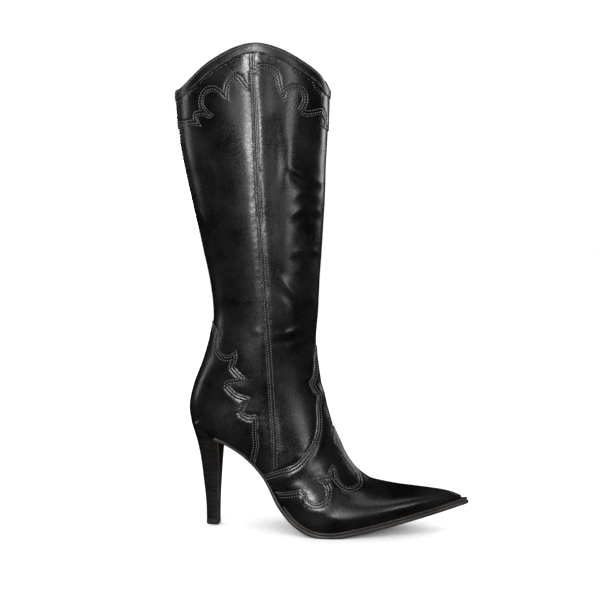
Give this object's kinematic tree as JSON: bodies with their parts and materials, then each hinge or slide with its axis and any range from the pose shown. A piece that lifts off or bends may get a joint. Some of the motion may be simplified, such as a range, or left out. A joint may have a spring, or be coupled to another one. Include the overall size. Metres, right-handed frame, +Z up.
{
  "type": "western boot",
  "caption": "Knee-high black leather western boot with a pointed toe, a slim high stacked heel, scalloped overlays and an inner side zip.",
  "frame": {"origin": "centre of the heel's tread, on the ground", "axes": "+Z up the leg, +X towards the toe, -Y the outer side of a right foot"},
  "size_m": [0.2776, 0.1046, 0.4485],
  "materials": {
    "upper_leather": "glossy aniline calf, lightly waxed",
    "binding_leather": "glossy folded calf strip",
    "lining_leather": "matt pigskin lining",
    "stiff_sheet": "matt impregnated felt",
    "fibreboard": "matt pressed fibreboard",
    "cork": "matt cork compound",
    "sole_leather": "dyed and waxed sole leather",
    "stacked_leather": "dyed stacked leather with faint lift lines",
    "heel_plastic": "moulded, matt",
    "lift_rubber": "matt hard rubber",
    "steel": "plain bright",
    "zip_tape": "woven polyester tape",
    "zip_nylon": "black nylon coil",
    "zip_metal": "dark nickel plated"
  },
  "bodies": {
    "boot": {"vamp": "upper_leather", "instep_piece": "upper_leather", "counter": "upper_leather", "shaft_front": "upper_leather", "shaft_back": "upper_leather", "collar_front": "upper_leather", "collar_back": "upper_leather", "binding_front": "binding_leather", "binding_back": "binding_leather", "vamp_lining": "lining_leather", "heel_lining": "lining_leather", "shaft_lining_front": "lining_leather", "shaft_lining_back": "lining_leather", "sock_liner": "lining_leather", "zip_guard": "lining_leather", "heel_stiffener": "stiff_sheet", "toe_puff": "stiff_sheet", "insole_board": "fibreboard", "bottom_filler": "cork", "outsole": "sole_leather", "welt": "sole_leather", "breast_cover": "sole_leather", "heel_core": "heel_plastic", "heel_stack_cover": "stacked_leather", "top_lift": "lift_rubber", "steel_shank": "steel", "heel_screw": "steel", "heel_nail_1": "steel", "heel_nail_2": "steel", "heel_nail_3": "steel", "heel_nail_4": "steel", "heel_dowel": "steel", "top_lift_pin": "steel", "zip_tape_front": "zip_tape", "zip_tape_back": "zip_tape", "zip_coil_front": "zip_nylon", "zip_coil_back": "zip_nylon", "zip_top_stop_front": "zip_metal", "zip_top_stop_back": "zip_metal", "zip_bottom_stop": "zip_metal"},
    "zip_slider": {"zip_slider": "zip_metal"},
    "zip_pull": {"zip_pull": "zip_metal"}
  },
  "joints": [
    {"name": "zip_travel", "type": "slide", "parent": "boot", "child": "zip_slider", "axis": [0.0434, -0.0493, -0.9978], "range_m": [0, 0.29]},
    {"name": "pull_swing", "type": "hinge", "parent": "zip_slider", "child": "zip_pull", "pos_m": [0.04488, 0.05258, 0.42619], "axis": [0.9991, 0, 0.0435], "range_deg": [-8, 165]}
  ]
}
